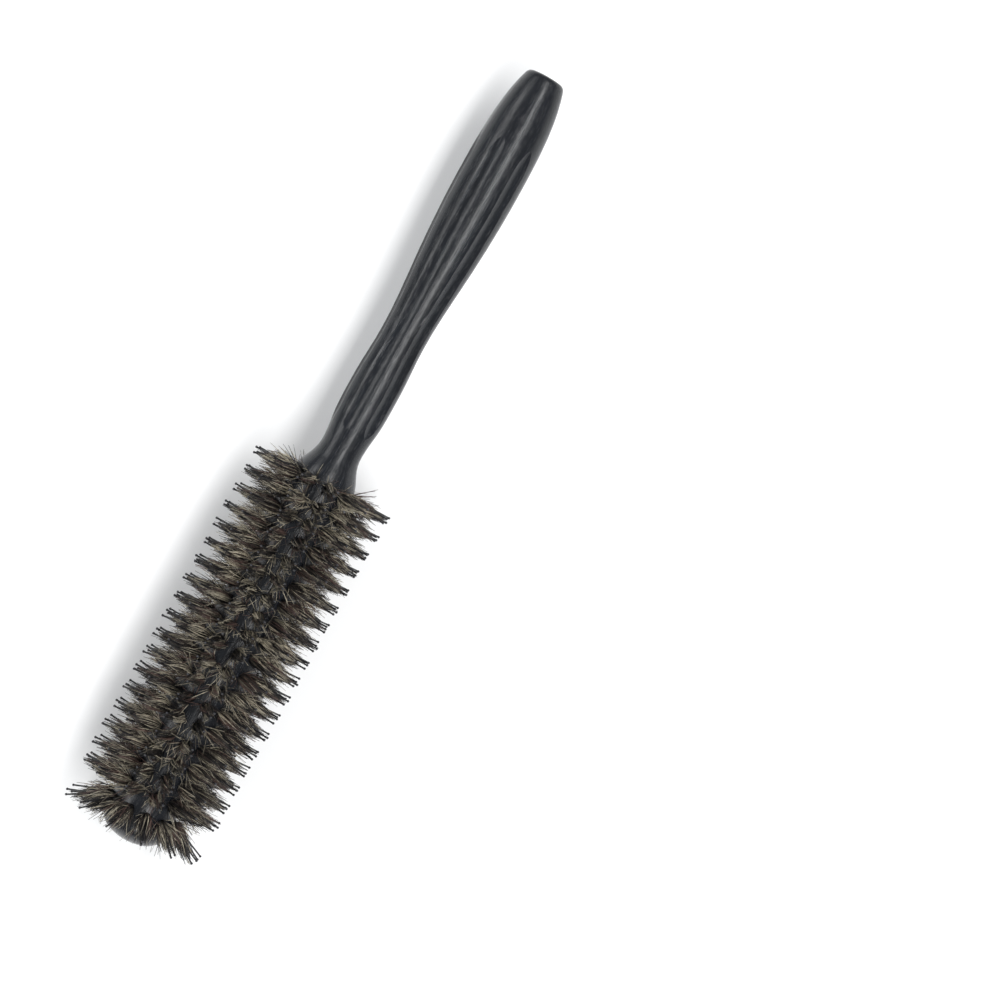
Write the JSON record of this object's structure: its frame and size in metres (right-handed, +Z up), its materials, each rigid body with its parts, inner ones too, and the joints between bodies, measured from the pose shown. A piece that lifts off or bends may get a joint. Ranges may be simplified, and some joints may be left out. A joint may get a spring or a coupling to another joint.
{
  "type": "round hair brush",
  "caption": "Round barrel hair brush: black lacquered turned wood handle and barrel in one piece, fluted grip, stapled rows of boar bristle tufts with longer ball-tipped nylon pins.",
  "frame": {"origin": "on the surface that the brush lies on, under the middle of its overall length", "axes": "+X along the brush's axis from the butt of the handle to the nose of the barrel, +Z up, with the brush lying level on two rows of its pins"},
  "size_m": [0.25, 0.0436, 0.0436],
  "materials": {
    "lacquered_wood": "black stain under satin lacquer",
    "boar_bristle": "natural mixed brown and black bristle",
    "nylon_pin": "black nylon, semi-gloss",
    "staple_wire": "bright flattened wire"
  },
  "bodies": {
    "root": {"turned_body": "lacquered_wood", "boar_row_01": "boar_bristle", "boar_row_02": "boar_bristle", "boar_row_03": "boar_bristle", "boar_row_04": "boar_bristle", "boar_row_05": "boar_bristle", "boar_row_06": "boar_bristle", "boar_row_07": "boar_bristle", "boar_row_08": "boar_bristle", "boar_row_09": "boar_bristle", "boar_row_10": "boar_bristle", "boar_row_11": "boar_bristle", "boar_row_12": "boar_bristle", "pin_row_01": "nylon_pin", "pin_row_02": "nylon_pin", "pin_row_03": "nylon_pin", "pin_row_04": "nylon_pin", "pin_row_05": "nylon_pin", "pin_row_06": "nylon_pin", "pin_row_07": "nylon_pin", "pin_row_08": "nylon_pin", "pin_row_09": "nylon_pin", "pin_row_10": "nylon_pin", "pin_row_11": "nylon_pin", "pin_row_12": "nylon_pin", "staple_row_01": "staple_wire", "staple_row_02": "staple_wire", "staple_row_03": "staple_wire", "staple_row_04": "staple_wire", "staple_row_05": "staple_wire", "staple_row_06": "staple_wire", "staple_row_07": "staple_wire", "staple_row_08": "staple_wire", "staple_row_09": "staple_wire", "staple_row_10": "staple_wire", "staple_row_11": "staple_wire", "staple_row_12": "staple_wire"}
  },
  "joints": []
}
